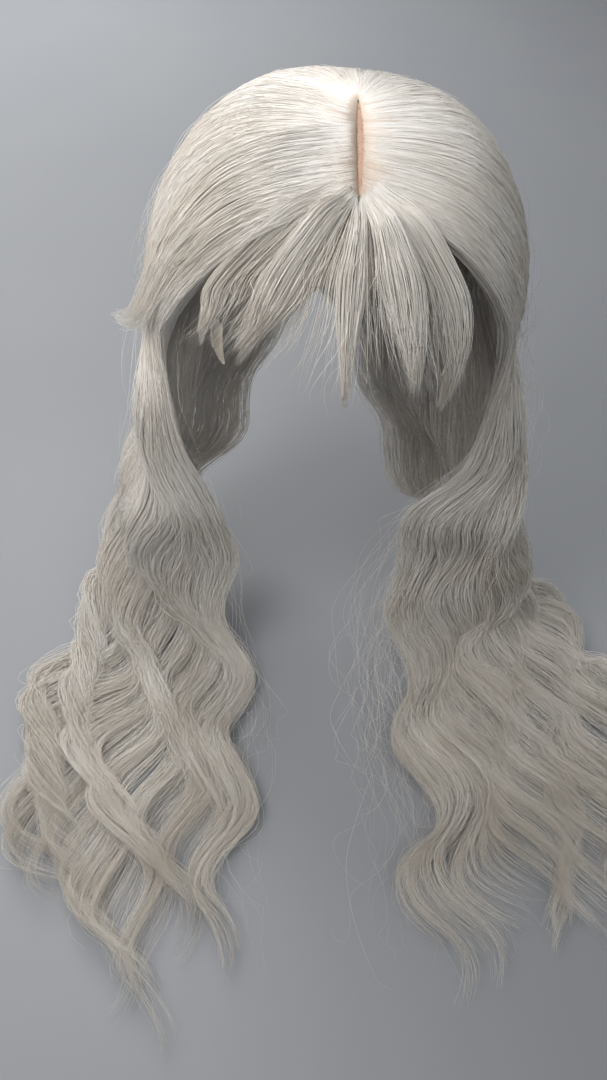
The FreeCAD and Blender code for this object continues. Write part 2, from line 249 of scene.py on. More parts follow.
def cut(name, axis, level):
    """Middle and half size of the section of a node at one level of an axis."""
    if name not in node_lines:
        node_lines[name] = mesh_lines(name)
    points, edges = node_lines[name]
    first, second = points[edges[:, 0]], points[edges[:, 1]]
    margin = 0.2 * MM
    level = min(max(level, points[:, axis].min() + margin), points[:, axis].max() - margin)
    crosses = (first[:, axis] - level) * (second[:, axis] - level) < 0
    first, second = first[crosses], second[crosses]
    share = (level - first[:, axis]) / (second[:, axis] - first[:, axis])
    found = first + share[:, None] * (second - first)
    low, high = found.min(0), found.max(0)
    return (low + high) / 2, (high - low) / 2


def inside(name, axis, level, across, through):
    """A point of a section: across goes out to the side, through goes back or up."""
    middle, half = cut(name, axis, level)
    point = middle.copy()
    out = SIDES[name.split("_")[0]]
    point[X] += out * across * half[X]
    other = Y if axis == Z else Z
    point[other] += through * half[other]
    point[axis] = level
    return point


low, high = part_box("left_side_hair")
_, half = cut("left_side_hair", Z, (low.z + high.z) / 2)
print("left side hair, half size at its middle", np.round(half, 4))

# %% [markdown]
# ## The shape of the head
# The crown hair and the cap are both rounded like an egg. Three half sizes describe each, and
# they are read from the frame: the outer face of the hair, and the scalp that the roots stand
# on, just over the net and its sewn trims.

# %% Half sizes of the crown and the scalp
head_seat = next(mount for mount in frame["record"]["mounts"] if mount["name"] == "head_seat")
head_drop = head_seat["dims"]["length_mm"] * MM
_, back_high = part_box("crown_hair_back_left")
_, back_high_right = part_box("crown_hair_back_right")
HEAD = np.array([0.0, 0.0, -head_drop])
CROWN = np.array([back_high_right.x, back_high.y, back_high.z + head_drop])
_, net_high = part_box("cap_net")
LAYER = 1.2 * MM  # the trims and roots over the net
SCALP = np.array([net_high.x + LAYER, net_high.y + LAYER, net_high.z + head_drop + LAYER])
part_low, part_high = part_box("parting_strip")
print("crown half sizes", CROWN, "parting", tuple(part_low), tuple(part_high))

# %% [markdown]
# ## Tools for strands
# Strands are kept as arrays of points, shape (strands, samples, 3), because NumPy moves
# half a million points at once in a few milliseconds. A strand is smooth, so a few control
# points are enough, and a cubic line is drawn through them.

# %% Smooth lines and noise
SEED = 20
rng = np.random.default_rng(SEED)


def smooth_line(knots, points, where):
    """Points on smooth lines through control points that stand at rising knots.
    points is (lines, knots, 3) and where is (lines, samples)."""
    knots = np.asarray(knots, float)
    slope = np.gradient(points, knots, axis=1)
    step = np.clip(np.searchsorted(knots, where, side="right") - 1, 0, len(knots) - 2)
    width = (knots[1:] - knots[:-1])[step][..., None]
    share = np.clip((where - knots[step])[..., None] / width, 0, 1)
    row = np.arange(len(points))[:, None]
    a, b = points[row, step], points[row, step + 1]
    from_a, to_b = slope[row, step] * width, slope[row, step + 1] * width
    square, cube = share**2, share**3
    line = (2 * cube - 3 * square + 1) * a + (3 * square - 2 * cube) * b
    return line + (cube - 2 * square + share) * from_a + (cube - square) * to_b


def ease(value, low, high):
    """0 below low, 1 above high and a soft rise between."""
    share = np.clip((value - low) / (high - low), 0, 1)
    return share * share * (3 - 2 * share)


def unit(vectors):
    return vectors / np.maximum(np.linalg.norm(vectors, axis=-1, keepdims=True), 1e-12)


def tangents(lines):
    return unit(np.gradient(lines, axis=1))


def run_length(lines):
    """Distance along each line up to each of its points."""
    steps = np.linalg.norm(np.diff(lines, axis=1), axis=2)
    return np.concatenate([np.zeros((len(lines), 1)), np.cumsum(steps, axis=1)], axis=1)


def side_axes(lines):
    """For each point, the sideways direction and the one square to it and to the line."""
    along = tangents(lines)
    sideways = np.zeros_like(along)
    sideways[..., X] = 1
    sideways = unit(sideways - (sideways * along).sum(-1, keepdims=True) * along)
    return sideways, np.cross(along, sideways)


def wander(count, samples, waves):
    """Smooth random offsets in three directions, about 1 in size, with that many waves."""
    turns = np.linspace(0, 2 * math.pi, samples)
    total = np.zeros((count, samples, 3))
    for scale in (1.0, 2.3):
        phase = rng.uniform(0, 2 * math.pi, (count, 1, 3))
        speed = waves * scale * rng.uniform(0.7, 1.3, (count, 1, 3))
        total += np.sin(turns[None, :, None] * speed + phase) / scale
    return total * 0.7


straight = np.linspace((0.0, 0.0, 0.0), (0.0, 0.0, -0.1), 11)[None]
print("a test line is", run_length(straight)[0, -1], "m long")

# %% [markdown]
# ## From a line to a fibre
# Blender's own curves with a bevel would do, but ten thousand of them are slow, and their
# meshes can't carry values. So each line gets a ring of three points at every sample, joined
# into a closed tube, and all the tubes of a piece are one mesh. Three sides are enough under
# smooth shading. Each point keeps two values for the material: the tone of its strand, and how
# far along the strand it lies.

# %% Tubes
CORNERS = 3  # sides of a strand's tube


def tube_mesh(name, lines, radii, tones):
    """One mesh of closed tapered tubes. radii is (strands, samples) and tones is (strands,)."""
    count, samples, _ = lines.shape
    along = tangents(lines)
    axis = np.zeros((count, samples, 3))
    helper = np.where(np.abs(along[:, 0, 2:3]) > 0.8, [[1.0, 0, 0]], [[0, 0, 1.0]])
    axis[:, 0] = unit(np.cross(along[:, 0], helper))
    for step in range(1, samples):
        carried = axis[:, step - 1]
        dot = (carried * along[:, step]).sum(-1, keepdims=True)
        axis[:, step] = unit(carried - dot * along[:, step])
    other = np.cross(along, axis)
    angle = np.arange(CORNERS) * 2 * math.pi / CORNERS
    ring = np.cos(angle)[:, None] * axis[:, :, None] + np.sin(angle)[:, None] * other[:, :, None]
    points = lines[:, :, None] + ring * radii[:, :, None, None]

    start = (np.arange(count) * samples * CORNERS)[:, None, None]
    first = start + (np.arange(samples - 1) * CORNERS)[None, :, None]
    corner = np.arange(CORNERS)[None, None, :]
    after = (corner + 1) % CORNERS
    quads = np.stack([first + corner, first + after, first + CORNERS + after, first + CORNERS + corner], -1)
    quads = quads.reshape(-1, 4)
    root_ring = start[:, 0] + np.arange(CORNERS)[::-1]
    tip_ring = start[:, 0] + (samples - 1) * CORNERS + np.arange(CORNERS)
    ends = np.concatenate([root_ring, tip_ring])
    return raw_mesh(name, points.reshape(-1, 3), quads, ends, {
        "tone": np.repeat(tones, samples * CORNERS),
        "reach": np.tile(np.repeat(np.linspace(0, 1, samples), CORNERS), count),
    })


def raw_mesh(name, points, quads, ends, values):
    """A mesh object from arrays, which is far quicker than adding faces one by one."""
    mesh = bpy.data.meshes.new(name)
    mesh.vertices.add(len(points))
    mesh.vertices.foreach_set("co", points.astype(np.float32).ravel())
    corners = np.concatenate([quads.ravel(), ends.ravel()]).astype(np.int32)
    sizes = np.concatenate([np.full(len(quads), 4), np.full(len(ends), ends.shape[1])])
    mesh.loops.add(len(corners))
    mesh.loops.foreach_set("vertex_index", corners)
    mesh.polygons.add(len(sizes))
    mesh.polygons.foreach_set("loop_start", np.concatenate([[0], np.cumsum(sizes)[:-1]]).astype(np.int32))
    mesh.polygons.foreach_set("use_smooth", np.ones(len(sizes), bool))
    mesh.update(calc_edges=True)
    for key, value in values.items():
        attribute = mesh.attributes.new(key, "FLOAT", "POINT")
        attribute.data.foreach_set("value", value.astype(np.float32))
    made = bpy.data.objects.new(name, mesh)
    bpy.context.scene.collection.objects.link(made)
    return made


print("a strand's tube has", CORNERS, "sides")

# %% [markdown]
# ## The hair's finish
# The fibre is a synthetic platinum blonde: near white where light falls on it and a warm
# beige where strands shade each other. Real strands differ a little from each other and along
# their length, so each strand carries a tone, and a noise in the object's space adds slow
# drifts. The root of each strand is painted darker: painted shade where the hair leaves the
# parting. A finer noise breaks up the roughness and the bump, and the highlight is soft, since
# the fibre has a matt coating.

# %% Hair material
def attribute(tree, name):
    made = tree.nodes.new("ShaderNodeAttribute")
    made.attribute_name = name
    return made.outputs["Fac"]


def mix_colour(tree, factor, first, second, blend="MIX"):
    made = tree.nodes.new("ShaderNodeMix")
    made.data_type = "RGBA"
    made.blend_type = blend
    for socket, value in ((made.inputs[0], factor), (made.inputs[6], first), (made.inputs[7], second)):
        if isinstance(value, bpy.types.NodeSocket):
            tree.links.new(value, socket)
        elif isinstance(value, (int, float)):
            socket.default_value = value
        else:
            socket.default_value = (*value, 1)
    return made.outputs[2]


ROOT_PAINTED_SHADE = (0.74, 0.62, 0.52)  # painted shade: the roots are darker, for the shadow where the hair leaves the parting
TIP_TINT = (0.97, 0.94, 0.89)


def hair_material(name, pale, warm, shade):
    material = bpy.data.materials.new(name)
    tree = tree_of(material)
    place = tree.nodes.new("ShaderNodeTexCoord").outputs["Object"]
    strand = ramp(tree, attribute(tree, "tone"), (0.0, shade), (0.3, warm), (0.75, pale))
    drift = node(tree, "ShaderNodeTexNoise", Vector=place, Scale=22.0, Detail=3.0)
    patch = ramp(tree, drift.outputs["Fac"], (0.35, (0.9, 0.88, 0.85)), (0.65, (1.0, 1.0, 1.0)))
    colour = mix_colour(tree, 1.0, strand, patch, "MULTIPLY")
    reach = attribute(tree, "reach")
    # painted shade over the first 3 % of each strand's length, then a faint warm tint towards the tip
    ends = ramp(tree, reach, (0.0, ROOT_PAINTED_SHADE), (0.03, (1, 1, 1)), (1.0, TIP_TINT))
    colour = mix_colour(tree, 1.0, colour, ends, "MULTIPLY")
    fine = node(tree, "ShaderNodeTexNoise", Vector=place, Scale=900.0, Detail=1.0)
    rough = node(tree, "ShaderNodeMapRange", Value=fine.outputs["Fac"], To_Min=0.44, To_Max=0.62)
    bump = node(tree, "ShaderNodeBump", Height=fine.outputs["Fac"], Strength=0.25, Distance=0.0001)
    shader = node(
        tree,
        "ShaderNodeBsdfPrincipled",
        Base_Color=colour,
        Roughness=rough.outputs["Result"],
        Normal=bump.outputs["Normal"],
    )
    shader.inputs["Specular IOR Level"].default_value = 0.28
    shader.inputs["Sheen Weight"].default_value = 0.15
    shader.inputs["Sheen Roughness"].default_value = 0.5
    finish_material(tree, shader)
    return material


PALE = (0.95, 0.93, 0.90)
WARM = (0.87, 0.835, 0.785)
SHADE = (0.67, 0.61, 0.54)
hair_finish = hair_material("platinum_hair", PALE, WARM, SHADE)
print("hair finish", hair_finish.name)

# %% [markdown]
# ## The course of the long hair
# On each side five guide lines show the course of the hair, from the edge of the face to
# the middle of the back. Each starts at the parting, runs over the crown as the comb would
# take it, falls beside the neck and then lies forward on the table. The guides pass through
# the CAD sections, so both sides use the same rules. Strands between two guides are mixed
# from them.

# %% Guides for one side
CROWN_SHARES = np.array([0.0, 0.06, 0.16, 0.32, 0.5, 0.68, 0.85, 1.0])
FALL_SHARES = np.array([0.17, 0.36, 0.55, 0.74])  # the bend onto the table takes the rest
FALL_END = 0.56  # knot where the hair reaches the table
CROWN_END = 0.24  # knot where the hair leaves the crown
LIE_SHARES = np.array([0.12, 0.25, 0.4, 0.55, 0.7, 0.85, 1.0])
GUIDE_PLACES = np.array([0.0, 0.25, 0.5, 0.75, 1.0])
# Where each guide leaves the crown, in degrees round the head from the ear, and its level.
FOOT_TURN = [-27, -8, 18, 50, 93]
FOOT_LEVEL = [-0.112, -0.118, -0.122, -0.150, -0.165]
# Share of the half size (out to the side, towards the back) of each guide in a falling section.
FALL_SHARE = {
    "side_hair": [(-0.55, -0.9), (0.55, -0.75), (1.0, 0.1)],
    "shoulder_hair": [(-0.9, -0.6), (0.0, -1.0), (0.85, -0.5)],
    "back_hair": [(0.95, -0.6), (-0.85, 0.8)],
}
# The lying lock of each guide and the share of its half width.
LANES = {
    "left": [("inner", -0.75), ("inner", 0.6), ("middle", 0.1), ("outer", -0.5), ("outer", 0.8)],
    "right": [("inner", -0.5), ("middle", -0.75), ("middle", 0.7), ("outer", 0.1), ("far", 0.7)],
}
DEEP_FALL = 0.3  # the deep layer of a falling section, as a share of its half size
print("guides a side", len(GUIDE_PLACES), "stations below the crown", len(FALL_SHARES) + len(LIE_SHARES))

# %% [markdown]
# ## Over the crown
# Combed hair takes the shortest way over the head. On a ball that is a great circle, so the
# head is first stretched into a ball, the strand is mixed between its two ends along the
# circle, and the result is stretched back. A strand starts on the scalp and climbs gently
# through the layers below it, which gives the parting its shallow valley.

# %% Points and ways on the crown
def crown_point(turn, level, scale=1.0):
    """A point on the crown at an angle round the head and a level. Arrays are allowed."""
    height = (level - HEAD[Z]) / CROWN[Z]
    radius = np.sqrt(np.clip(1 - height**2, 0, 1))
    angle = np.radians(turn)
    point = np.stack([radius * np.cos(angle), radius * np.sin(angle), height + 0 * angle], -1)
    return HEAD + point * CROWN * np.reshape(scale, (-1, 1))


def scalp_point(x, y):
    """The point of the scalp under a place seen from above."""
    height = np.sqrt(1 - (x / SCALP[X]) ** 2 - (y / SCALP[Y]) ** 2)
    return np.stack([x, y, HEAD[Z] + SCALP[Z] * height], -1)


def over_crown(root, foot, shares, rise_end=0.42):
    """The shortest way over the rounded crown from root to foot, at these shares of it.
    The hair leaves the scalp early and lies at the height of its foot from there on."""
    start, end = (root - HEAD) / CROWN, (foot - HEAD) / CROWN
    start_height, end_height = np.linalg.norm(start, axis=1), np.linalg.norm(end, axis=1)
    start, end = unit(start), unit(end)
    angle = np.arccos(np.clip((start * end).sum(-1), -1, 1))[:, None, None]
    share = shares[None, :, None]
    arc = unit(np.sin((1 - share) * angle) * start[:, None] + np.sin(share * angle) * end[:, None])
    rise = ease(shares, 0.0, rise_end)[None, :]
    height = start_height[:, None] + (end_height - start_height)[:, None] * rise
    return HEAD + arc * CROWN * height[..., None]


print("level of the scalp at its highest", round(float(scalp_point(0.0, 0.0)[Z]), 4))

# %% [markdown]
# ## Beside the neck and on the table
# Below the crown a guide is a row of points inside the CAD sections, each with a surface point
# and a deep point. The lowest part of the fall is left out, so that the hair turns onto the
# table in one wide bend, as a heavy lock does.

# %% Guides through the CAD sections
def falling_guide(side, guide, level):
    """Surface and deep point of a guide at a level beside the neck."""
    split = cut_level[side]
    part = "back_hair" if guide >= 3 else ("side_hair" if level > split else "shoulder_hair")
    name = f"{side}_{part}"
    across, through = FALL_SHARE[part][guide - 3 if guide >= 3 else guide]
    surface = inside(name, Z, level, across, through)
    deep = inside(name, Z, level, across * DEEP_FALL, through * DEEP_FALL)
    return surface, deep


def lying_guide(side, guide, share):
    """Surface and deep point of a guide on the table."""
    lane, across = LANES[side][guide]
    name = f"{side}_length_{lane}"
    low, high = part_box(name)
    level = high.y + (low.y - high.y) * share
    surface = inside(name, Y, level, across, 0.8)
    deep = inside(name, Y, level, across * 0.9, -0.85)
    return surface, deep


cut_level = {side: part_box(f"{side}_side_hair")[0].z for side in SIDES}


def guides_of(side):
    """Arrays (stations, guides, 3) for the surface and the deep layer below the crown."""
    foot_of_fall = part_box(f"{side}_shoulder_hair")[0].z
    surface, deep = [], []
    for share in FALL_SHARES:
        rows = []
        for guide, foot in enumerate(FOOT_LEVEL):
            level = foot + (foot_of_fall - foot) * share
            rows.append(falling_guide(side, guide, level))
        surface.append([row[0] for row in rows])
        deep.append([row[1] for row in rows])
    for share in LIE_SHARES:
        rows = [lying_guide(side, guide, share) for guide in range(len(GUIDE_PLACES))]
        surface.append([row[0] for row in rows])
        deep.append([row[1] for row in rows])
    return np.array(surface), np.array(deep)


guides = {side: guides_of(side) for side in SIDES}
print("guide stations below the crown", guides["left"][0].shape)

# %% [markdown]
# ## From guides to strands
# A strand is named by two numbers: its place round the head, from 0 at the face to 1 at the
# middle of the back, and its depth, from 0 at the cap to 1 at the surface. Its path over the
# crown is the shortest one on a rounded head, which is how combed hair lies. Below, it is
# mixed from the guides.

# %% Paths of strands
STATION_KNOTS = np.concatenate([
    CROWN_SHARES * CROWN_END,
    CROWN_END + (FALL_END - CROWN_END) * FALL_SHARES,
    FALL_END + (1 - FALL_END) * LIE_SHARES,
])
PART_EDGE = 0.5 * MM  # half width of the parting at its ends
PART_OPEN = 2.3 * MM  # how much further it opens at its middle
ROOT_PITCH = 1.6 * MM  # roots leave the parting in small groups, this far apart
ROOT_GATHER = 0.25
PART_PLACE = 0.62  # hair from here to the back grows from the whorl behind the parting
WHORL_REACH = 7 * MM
DEEP_CROWN = 0.92  # the lowest layer of crown hair, as a share of the outer one


def part_roots(side, y):
    """Roots beside the open parting, gathered into small groups."""
    grouped = np.round(y / ROOT_PITCH) * ROOT_PITCH
    y = y + ROOT_GATHER * (grouped - y) + rng.normal(0, 0.5 * MM, len(y))
    share = np.clip((y - part_low.y) / (part_high.y - part_low.y), 0, 1)
    x = PART_EDGE + PART_OPEN * np.sin(math.pi * share) * rng.uniform(0.3, 1.0, len(y))
    x += rng.exponential(0.5 * MM, len(y))
    return scalp_point(SIDES[side] * x, y)


def crown_paths(side, place, depth):
    """Control points over the crown, from the parting to the foot of the crown."""
    scale = DEEP_CROWN + (1 - DEEP_CROWN) * depth
    turn_of_foot = np.interp(place, GUIDE_PLACES, FOOT_TURN)
    foot = crown_point(turn_of_foot, np.interp(place, GUIDE_PLACES, FOOT_LEVEL), scale)
    foot[:, X] *= SIDES[side]
    share = np.clip(place / PART_PLACE, 0, 1)
    whorl = ease(place, PART_PLACE, 1.0)
    y = part_low.y + (part_high.y - part_low.y) * share + whorl * WHORL_REACH
    root = part_roots(side, y)
    root[:, X] *= 1 - 1.3 * whorl
    return over_crown(root, foot, CROWN_SHARES)


def strand_paths(side, place, depth):
    """Control points of whole strands, from the parting to the tip on the table."""
    surface, deep = guides[side]
    where = np.tile(place, (len(surface), 1))
    top = smooth_line(GUIDE_PLACES, surface, where)
    bottom = smooth_line(GUIDE_PLACES, deep, where)
    below = bottom + (top - bottom) * depth[None, :, None]
    return np.concatenate([crown_paths(side, place, depth), below.transpose(1, 0, 2)], axis=1)


print("station knots", np.round(STATION_KNOTS, 3))

# %% [markdown]
# ## Waves
# The lengths were set in S-waves of about ten centimetres. The waves start below the temples
# and are full from the shoulders on. Neighbours wave nearly in step, which is what makes a
# wavy wig look like folded cloth from afar. A little unevenness in pitch, place and height
# keeps it from looking like a corrugated sheet.

# %% Waves and drift
MASTER = 150  # samples of the lines that the strands are drawn from
master_knots = np.linspace(0, 1, MASTER)


def lines_of(side, place, depth):
    """Smooth lines of whole strands, before they wave."""
    where = np.tile(master_knots, (len(place), 1))
    return smooth_line(STATION_KNOTS, strand_paths(side, place, depth), where)


def locks_of(side, count):
    """Places, depths and middle lines of the locks that strands gather into."""
    place = (np.arange(count) + rng.uniform(0.2, 0.8, count)) / count
    depth = rng.uniform(0.2, 1.0, count)
    return place, depth, lines_of(side, place, depth)


WAVE_START, WAVE_FULL = 0.20, 0.58  # metres from the root
WAVE_HEIGHT = 15 * MM
WAVE_LENGTH = 0.104


def wave_offsets(lines, place, height, uneven=1.0):
    """The S-waves of each lock, in step with its neighbours, but for a little unevenness."""
    count = len(lines)
    length = run_length(lines)
    sideways, lifting = side_axes(lines)
    pitch = WAVE_LENGTH * (1 + 0.05 * np.sin(5 * place[:, None]) + rng.normal(0, 0.008, (count, 1)) * uneven)
    phase = 2.5 * place[:, None] + rng.normal(0, 0.22, (count, 1)) * uneven
    turns = 2 * math.pi * length / pitch + phase
    grow = ease(length, WAVE_START, WAVE_FULL) * height[:, None]
    wave = np.sin(turns)[..., None] * sideways + 0.3 * np.cos(turns + 0.6)[..., None] * lifting
    return wave * grow[..., None]


def drift_offsets(lines, size, waves=1.1):
    """A slow random course of each lock, so that locks part and cross."""
    count = len(lines)
    grow = ease(run_length(lines), 0.22, 0.6)[..., None]
    sideways, lifting = side_axes(lines)
    random = wander(count, lines.shape[1], waves) * size
    return grow * (random[..., 0:1] * sideways + 0.35 * random[..., 1:2] * lifting)


print("waves are", WAVE_LENGTH, "m long and", 2 * WAVE_HEIGHT, "m from side to side")

# %% [markdown]
# ## Locks
# Strands gather into fine locks, and fine locks follow broad ones that carry the waves. A
# strand is only pulled part of the way to its lock, and some strands stay free of any lock.
# They fill the gaps, so the mass stays closed and still shows its locks.

# %% Strands that gather into locks
SAMPLES = 70
SAMPLE_SHARES = np.interp(np.linspace(0, 1, SAMPLES), [0, 0.2, 1], [0, 0.3, 1])  # closer where it waves
BROAD_DRIFT = 4 * MM
FINE_DRIFT = 2.8 * MM
FREE_SHARE = 0.4  # strands outside the locks
FREE_PULL = 0.15  # how much of the locks' pull they still feel
LOCK_PULL = 0.12  # how far a fine lock leans to its broad one
STRAND_PULL = 0.4  # how far a strand leans to its fine lock
DEPTH_WEIGHT = 0.07  # a step in depth counts this much of a step round the head


def rest_on_table(lines, lift):
    """Keeps every point above the table."""
    lowest = floor_level + FLOOR_GAP + lift
    soft = lines.copy()
    soft[..., Z] = np.maximum(soft[..., Z], lowest)
    return soft


def nearest(place, depth, other_place, other_depth, jitter):
    """For each strand, the lock that it gathers into."""
    apart = (place[:, None] - other_place) ** 2 + (DEPTH_WEIGHT * (depth[:, None] - other_depth)) ** 2
    return np.argmin(apart + rng.uniform(0, jitter, apart.shape), axis=1)


def long_hair(side, count, lock_count, fine_count):
    """Lines of the long strands of one side, with their places and fine locks."""
    lock_place, lock_depth, lock_lines = locks_of(side, lock_count)
    height = WAVE_HEIGHT * rng.uniform(0.8, 1.25, lock_count)
    lock_offset = wave_offsets(lock_lines, lock_place, height) + drift_offsets(lock_lines, BROAD_DRIFT)
    fine_place, fine_depth, fine_lines = locks_of(side, fine_count)
    fine_lock = nearest(fine_place, fine_depth, lock_place, lock_depth, 0.001)
    fine_length = run_length(fine_lines)[..., None]
    fine_offset = lock_offset[fine_lock] + drift_offsets(fine_lines, FINE_DRIFT, 1.8)
    fine_offset += (lock_lines[fine_lock] - fine_lines) * LOCK_PULL * ease(fine_length, 0.25, 0.74)
    fine_end = rng.uniform(0.88, 1.0, fine_count) - 0.06 * rng.uniform(0, 1, lock_count)[fine_lock]

    place = (np.arange(count) + rng.uniform(0, 1, count)) / count
    depth = rng.uniform(0, 1.0, count) ** 0.6
    lines = lines_of(side, place, depth)
    own = nearest(place, depth, fine_place, fine_depth, 0.0002)
    length = run_length(lines)[..., None]
    locked = np.where(rng.uniform(0, 1, (count, 1, 1)) < FREE_SHARE, FREE_PULL, 1.0)
    pull = STRAND_PULL * ease(length, 0.2, 0.6) * rng.uniform(0.5, 1.15, (count, 1, 1)) * locked
    even_wave = wave_offsets(lines, place, np.full(count, WAVE_HEIGHT), 0.2)
    lines = lines + (fine_lines[own] - lines) * pull + fine_offset[own] * locked + even_wave * (1 - locked)
    loose = rng.exponential(1.0, (count, 1, 1)) * 1.7 * MM + 0.3 * MM
    lines += wander(count, MASTER, 5.0) * loose * ease(length, 0.05, 0.5)

    first = np.where(depth < 0.5, rng.uniform(0.02, 0.16, count), 0.0)
    last = fine_end[own] * (1 - 0.1 * rng.uniform(0, 1, count) ** 2)
    where = first[:, None] + (last - first)[:, None] * SAMPLE_SHARES
    lines = smooth_line(master_knots, lines, where)
    return rest_on_table(lines, rng.uniform(0.3, 3.0, (count, 1)) * MM), place, own


def strand_radii(count, samples, size):
    """Radii that are full from near the root and taper towards the tip."""
    reach = np.linspace(0, 1, samples)
    taper = (0.55 + 0.45 * ease(reach, 0.0, 0.05)) * (1 - 0.72 * ease(reach, 0.72, 1.0))
    return size * rng.uniform(0.75, 1.25, (count, 1)) * taper[None, :]


print("samples of a strand", SAMPLES)

# %% [markdown]
# ## Long hair
# The strands of each side are cut into pieces by their place round the head, so that no
# mesh is too heavy. Each piece crosses the hinge where the lengths lift off the table.

# %% Long hair pieces
STRAND_RADIUS = 0.18 * MM
STRANDS_A_SIDE = 3800
BROAD_LOCKS = 15
FINE_LOCKS = 150
PIECE_NAMES = ["face", "brow", "temple", "ear", "side", "rear", "nape", "back"]


def hair_piece(name, lines, radii, tones):
    made = tube_mesh(name, lines, radii, tones)
    made.data.materials.append(hair_finish)
    return made


for side in SIDES:
    lines, place, own = long_hair(side, STRANDS_A_SIDE, BROAD_LOCKS, FINE_LOCKS)
    lock_tone = rng.uniform(0, 1, own.max() + 1)
    tones = np.clip(0.35 * lock_tone[own] + 0.65 * rng.uniform(0, 1, len(own)), 0, 1)
    radii = strand_radii(len(lines), SAMPLES, STRAND_RADIUS)
    bounds_of_piece = np.linspace(0, 1, len(PIECE_NAMES) + 1)
    for index, label in enumerate(PIECE_NAMES):
        mine = (place >= bounds_of_piece[index]) & (place < bounds_of_piece[index + 1])
        piece = hair_piece(f"{side}_long_hair_{label}", lines[mine], radii[mine], tones[mine])
        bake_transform(piece)
        print(piece.name, int(mine.sum()), "strands")

# %% [markdown]
# ## Fringe
# The fringe fans out from the front end of the parting. It is thin: five locks fall over the
# forehead, with a see-through veil of single strands between them. Each lock follows its CAD
# solid, and its roots start on the scalp.
# A lock's course is read from cuts through its CAD solid, from its top to its tip.

# %% Courses of the fringe locks
LOCK_SHARES = np.array([0.16, 0.36, 0.56, 0.76, 0.94])
FRINGE_SHARES = np.array([0.0, 0.15, 0.38, 0.68])
FRINGE_KNOTS = np.concatenate([FRINGE_SHARES * 0.52, 0.52 + 0.48 * np.arange(5) / 4])
FRINGE_ROWS = ["far_left", "left", "centre", "right", "far_right"]
FRINGE_SAMPLES = 40
TIP_REACH = 0.4  # the tips run on past the last cut, by this share of the step before it
ROOT_FAN = 7 * MM  # half width of the fan of roots at the front end of the parting


def lock_sections(name):
    """Middles and half sizes of a fringe lock, from its top to its tip."""
    low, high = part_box(name)
    rows = [cut(name, Z, high.z + (low.z - high.z) * share) for share in LOCK_SHARES]
    middles = np.array([row[0] for row in rows])
    middles[-1] += TIP_REACH * (middles[-1] - middles[-2])
    return middles, np.array([row[1] for row in rows])


fringe_sections = [lock_sections(f"fringe_lock_{row}") for row in FRINGE_ROWS]


def fringe_roots(spread):
    """Roots round the front end of the parting. spread is from -1 to 1, left to right."""
    x = spread * ROOT_FAN + rng.normal(0, 0.6 * MM, len(spread))
    y = part_low.y + 9 * MM * np.abs(spread) ** 1.5 - rng.uniform(0, 4 * MM, len(spread))
    x = np.where(np.abs(x) < PART_OPEN, np.sign(x) * PART_OPEN * rng.uniform(0.2, 1, len(x)), x)
    return scalp_point(x, y)


def fringe_lines(spread, sections, ends, samples=FRINGE_SAMPLES):
    """Smooth strands from the fan of roots through their sections."""
    over = over_crown(fringe_roots(spread), sections[:, 0], FRINGE_SHARES, 0.5)
    points = np.concatenate([over, sections], axis=1)
    where = ends[:, None] * np.linspace(0, 1, samples)
    return smooth_line(FRINGE_KNOTS, points, where)


print("fringe locks", FRINGE_ROWS)

# %% [markdown]
# ## Fringe locks and their veil
# Water or wax draws a lock to a few points, so each strand aims at one of its lock's tips and
# nears it on the way down. The tips end at different lengths. The strands of the veil hang
# singly between two locks and wander more.

# %% Strands of the fringe
LOCK_POINTS = [2, 4, 2, 4, 4]  # tips that each lock is drawn out to
LOCK_WIDTH = [0.8, 1.1, 0.72, 0.95, 0.95]
LOCK_GATHER = np.array([0.0, 0.1, 0.35, 0.65, 0.88])  # how near a strand is to its tip's line
LOCK_WIDEN = np.array([1.2, 1.15, 1.05, 1.0, 0.95])
LOCK_FLATTEN = np.array([0.8, 0.7, 0.7, 0.6, 0.4])
FAN_STEP = 2.4  # locks in half the fan of roots


def disc(count):
    """Random places in a round section."""
    radius, angle = np.sqrt(rng.uniform(0, 1, count)), rng.uniform(0, 2 * math.pi, count)
    return radius * np.cos(angle), radius * np.sin(angle)


def lock_strands(index, count):
    """Strands of one fringe lock: a broad flat ribbon above, drawn to a few points below."""
    middles, halves = fringe_sections[index]
    across, through = disc(count)
    point = rng.integers(0, LOCK_POINTS[index], count)
    point_across = np.linspace(-1, 1, LOCK_POINTS[index] + 2)[1:-1]
    point_across = point_across + rng.uniform(-0.2, 0.2, LOCK_POINTS[index])
    point_end = rng.uniform(0.9, 1.0, LOCK_POINTS[index])
    aim = across[:, None] + (point_across[point] - across)[:, None] * LOCK_GATHER
    sections = np.tile(middles, (count, 1, 1))
    sections[..., X] += aim * halves[:, X] * (LOCK_WIDEN * LOCK_WIDTH[index])
    sections[..., Y] += through[:, None] * halves[:, Y] * LOCK_FLATTEN
    spread = (index - 2) / FAN_STEP + 0.22 * across * LOCK_WIDTH[index]
    lines = fringe_lines(spread, sections, point_end[point] * rng.uniform(0.92, 1.0, count))
    grow = np.linspace(0, 1, FRINGE_SAMPLES)[None, :, None] ** 2
    return lines + wander(count, FRINGE_SAMPLES, 2.0) * grow * rng.exponential(0.7 * MM, (count, 1, 1))


VEIL_SHIFT = np.array([0.0, 0.0, 2.0, 6.0, 12.0]) * MM  # the veil's tips lean to the sides


